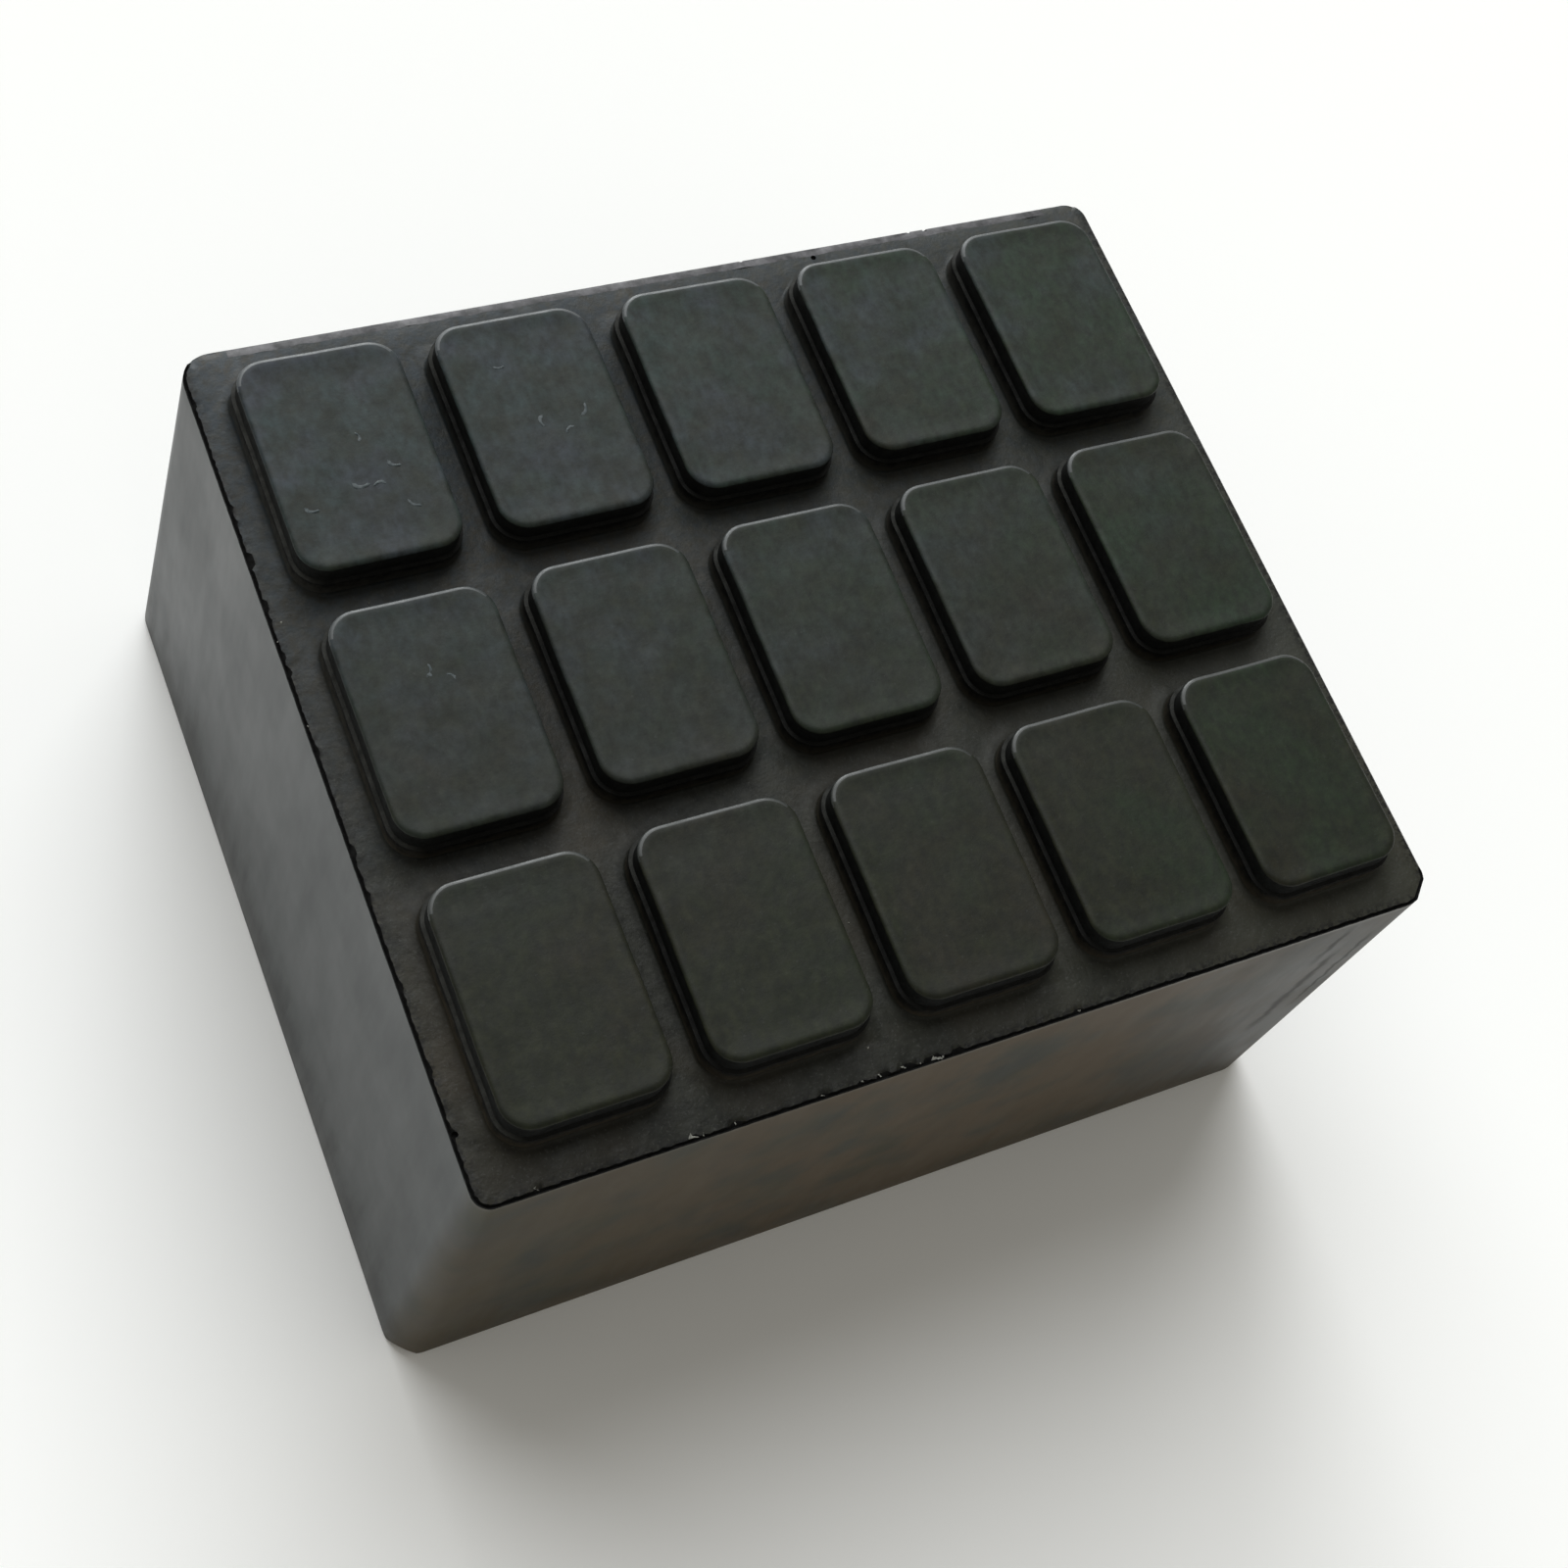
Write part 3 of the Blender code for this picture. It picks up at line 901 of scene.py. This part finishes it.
# %% Give the pad its finishes
for face in pad.data.polygons:
    spot = middle_of(pad, face)
    face.material_index = SIDE
    if spot.z > cad_size.z - ROUND_DOWN:
        # The faces of the round that turn to the back get the rim finish, whose lighter colour is a painted
        # highlight.
        worn = face.normal.z < 0.985 and face.normal.y > 0.6 * face.normal.x and face.normal.y > 0.05
        face.material_index = RIM if worn else PAD
    elif spot.z < PLATE_LEVEL + 0.9 * FLARE:
        face.material_index = PLATE
    elif spot.z < STEP_LEVEL:
        face.material_index = FOOT
print("faces of the pad's rim:", sum(face.material_index == RIM for face in pad.data.polygons))


# %% Copy the pad to its fifteen places
def copy_of(thing, name):
    """A copy with a mesh of its own."""
    made = thing.copy()
    made.data = thing.data.copy()
    made.name = name
    bpy.context.scene.collection.objects.link(made)
    return made


SHIFT, TURN = 0.00008, 0.004
chance = random.Random(11)
pads = []
for column in range(COLUMNS):
    for row in range(ROWS):
        made = copy_of(pad, f"pad_{column}_{row}")
        made.location.x = (column - (COLUMNS - 1) / 2) * PITCH_X + chance.uniform(-SHIFT, SHIFT)
        made.location.y = (row - (ROWS - 1) / 2) * PITCH_Y + chance.uniform(-SHIFT, SHIFT)
        made.rotation_euler.z = chance.uniform(-TURN, TURN)
        only(made)
        bpy.ops.object.transform_apply(location=True, rotation=True, scale=True)
        pads.append(made)
bpy.data.objects.remove(pad, do_unlink=True)
print("pads:", len(pads))


# %% Join the pads to the block
def by_side(point):
    return 1.0 if point.z > PLATE_LEVEL + FLARE else 0.0


grid = joined(pads)
roughen(grid, group_of(grid, "sides", by_side), size=0.006, strength=0.00012, depth=1)
combine(block, grid, "UNION")
only(block)
bpy.ops.object.shade_smooth_by_angle(angle=math.radians(40))
print("block with its pads:", len(block.data.polygons), "faces")


# %% Tell the frame what this piece is
def settle(piece):
    """Says that a piece belongs to the block's body."""
    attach(piece, "root")


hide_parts("lift_pad_block")
settle(block)
print("settled:", block.name)

# %% [markdown]
# ## Small things on the rubber
# Shreds of flash still hang in the notch along the front and on the left. They are thin, dry and light. A
# few grains of grit lie on the plate, and three pads at the back and on the left carry short curled
# scuffs, where something turned on them. Each kind is modelled once and copied, and the copies differ in
# size and turn.

# %% Scatter copies of a small thing
def scatter(first, name, places, level, size_range, tilt):
    """Copies a small thing to its places, each with a size and a turn of its own, and joins the copies."""
    copies = []
    for x, y, size in places:
        made = copy_of(first, name)
        made.location = (x, y, level)
        tilts = [chance.uniform(-tilt, tilt) for _ in range(2)]
        made.rotation_euler = (*tilts, chance.uniform(-math.pi, math.pi))
        made.scale = [size * chance.uniform(*size_range) for _ in range(3)]
        only(made)
        bpy.ops.object.transform_apply(location=True, rotation=True, scale=True)
        copies.append(made)
    bpy.data.objects.remove(first, do_unlink=True)
    whole = joined(copies)
    whole.name = name
    only(whole)
    bpy.ops.object.shade_smooth_by_angle(angle=math.radians(40))
    settle(whole)
    print(name, len(places), "copies,", len(whole.data.polygons), "faces")


def everywhere(point):
    return 1.0


# %% Hang shreds of flash in the notch
def thin_flake(name, size, finish):
    """A thin flake whose outline and surface are uneven."""
    made = box_at(name, -size / 2, size / 2, [finish])
    open_mesh(made)
    bpy.ops.mesh.select_all(action="SELECT")
    bpy.ops.mesh.subdivide(number_cuts=5)
    close_mesh()
    roughen(made, group_of(made, "all", everywhere), size=0.5 * size.x, strength=0.5 * size.x)
    return made


SHREDS = (
    (-0.06240, -0.05935, 0.7), (-0.04218, -0.05930, 1.7), (-0.04110, -0.05945, 0.7),
    (-0.03683, -0.05930, 0.8), (-0.02500, -0.05950, 0.6), (-0.01965, -0.05930, 0.9),
    (-0.01703, -0.05940, 0.8), (-0.01364, -0.05935, 1.0), (-0.01116, -0.05950, 0.8),
    (-0.00897, -0.05955, 1.3), (-0.00800, -0.05950, 0.8), (0.01210, -0.05955, 0.5),
    (-0.06950, 0.01664, 0.6), (-0.06955, 0.00426, 0.6),
)
flake = thin_flake("flake", Vector((0.0008, 0.0003, 0.00006)), shred_rubber)
scatter(flake, "flash_shreds", SHREDS, PLATE_LEVEL - 0.00012, (0.8, 1.2), 0.5)

# %% Drop the grit
GRIT = (
    (-0.03033, -0.03148, 1.0), (-0.01290, -0.03961, 0.8), (0.06411, -0.04279, 0.9),
    (-0.01709, -0.05568, 0.8), (-0.06841, 0.01900, 0.7), (0.0301, 0.0020, 0.5), (-0.0570, 0.0190, 0.6),
    (0.0045, 0.0565, 0.5),
)
bpy.ops.object.select_all(action="DESELECT")
grain = ball_at("grain", (0, 0, 0), 0.00020, [shred_rubber])
roughen(grain, group_of(grain, "all", everywhere), size=0.0002, strength=0.00014)
scatter(grain, "grit", GRIT, PLATE_LEVEL + 0.00005, (0.6, 1.1), 3.0)

# %% Curl the scuffs
CURLS = (
    (-0.04830, 0.03585, 1.1), (-0.05372, 0.03407, 1.0), (-0.04790, 0.02953, 0.9),
    (-0.06070, 0.03166, 1.3), (-0.05301, 0.04027, 1.2), (-0.05190, 0.03200, 0.8),
    (-0.03054, 0.04711, 1.0), (-0.02697, 0.03682, 1.1), (-0.02226, 0.03816, 0.9),
    (-0.02426, 0.03465, 1.0), (-0.05510, 0.00625, 1.0), (-0.05240, 0.00380, 0.7),
)
PAD_LEVEL = cad_size.z - sum(sink for _, sink in DISH)
bpy.ops.object.select_all(action="DESELECT")
bpy.ops.mesh.primitive_torus_add(
    major_radius=0.0013, minor_radius=0.00020, major_segments=40, minor_segments=8, location=(0, 0, 0)
)
curl = bpy.context.object
curl.name = "curl"
curl.data.materials.append(scuff_rubber)
open_mesh(curl)
bpy.ops.mesh.select_all(action="SELECT")
bpy.ops.mesh.bisect(
    plane_co=(-0.0009, 0, 0), plane_no=(0.94, 0.34, 0), use_fill=True, clear_outer=True, threshold=1e-7
)
bpy.ops.mesh.select_all(action="SELECT")
bpy.ops.transform.resize(value=(1.2, 0.9, 0.22), center_override=(-0.0012, 0, 0))
close_mesh()
roughen(curl, group_of(curl, "all", everywhere), size=0.0007, strength=0.00022)
scatter(curl, "scuffs", CURLS, PAD_LEVEL + 0.00001, (0.5, 1.1), 0.0)

# %% [markdown]
# ## The floor, the light and the camera
# The block lies on a pale floor. A wide soft light comes from behind and a little from the right, as from
# a large window, and a second one from lower down catches the rims of the pads. A pale surrounding fills
# the rest, brighter near the horizon than overhead. The wall on the left then mirrors the bright floor
# beside it, and the front wall mirrors the floor in the block's own shadow, so it is much darker.

# %% Lay the floor
bpy.ops.mesh.primitive_plane_add(size=8, location=(0, 0, 0))
floor = bpy.context.object
floor.name = "floor"
floor_paint, tree, shader, place = begin("floor_paint", 0)
shader.inputs["Base Color"].default_value = (0.98, 0.98, 0.98, 1)
shader.inputs["Roughness"].default_value = 1
floor.data.materials.append(floor_paint)
print("floor of", [round(side, 2) for side in floor.dimensions], "m")

# %% Surround the block with light
HORIZON = (0.60, 0.585, 0.54)
OVERHEAD = (0.30, 0.292, 0.265)
world = bpy.data.worlds.new("studio")
world.use_nodes = True
tree = world.node_tree
heading = tree.nodes.new("ShaderNodeTexCoord").outputs["Generated"]
_, _, rise = parts_of(tree, heading)
glow = mixed(tree, spread(tree, rise, 0, 1, 0.0, 0.6), HORIZON, OVERHEAD)
tree.links.new(glow, tree.nodes["Background"].inputs["Color"])
bpy.context.scene.world = world
print("world:", world.name)


# %% Light the block from behind
DAYLIGHT = (0.975, 1.0, 1.005)


def sun(name, azimuth, elevation, width, strength, colour):
    """A wide light far away. The azimuth runs from the back to the left, and all angles are in degrees."""
    turn, rise = math.radians(azimuth), math.radians(elevation)
    towards = Vector((-math.sin(turn) * math.cos(rise), math.cos(turn) * math.cos(rise), math.sin(rise)))
    bpy.ops.object.light_add(type="SUN")
    made = bpy.context.object
    made.name = name
    made.rotation_euler = towards.to_track_quat("Z", "Y").to_euler()
    made.data.energy = strength
    made.data.angle = math.radians(width)
    made.data.color = colour
    print(name, "at", elevation, "degrees over the floor")


sun("window", azimuth=-6, elevation=48, width=60, strength=2.40, colour=DAYLIGHT)
sun("low_window", azimuth=-12, elevation=16, width=30, strength=1.60, colour=DAYLIGHT)

# %% Place the camera
CAMERA_PLACE = (-0.14091, -0.12280, 0.35581)
CAMERA_TURNS = (28.76, -16.69, -23.46)
bpy.ops.object.camera_add(location=CAMERA_PLACE, rotation=[math.radians(angle) for angle in CAMERA_TURNS])
camera = bpy.context.object
camera.data.lens = 58.773
camera.data.sensor_width = 36
camera.data.shift_x = -0.0515
camera.data.shift_y = -0.077
bpy.context.scene.camera = camera
bpy.context.scene.view_settings.view_transform = "Standard"
print("camera with a lens of", camera.data.lens, "mm")
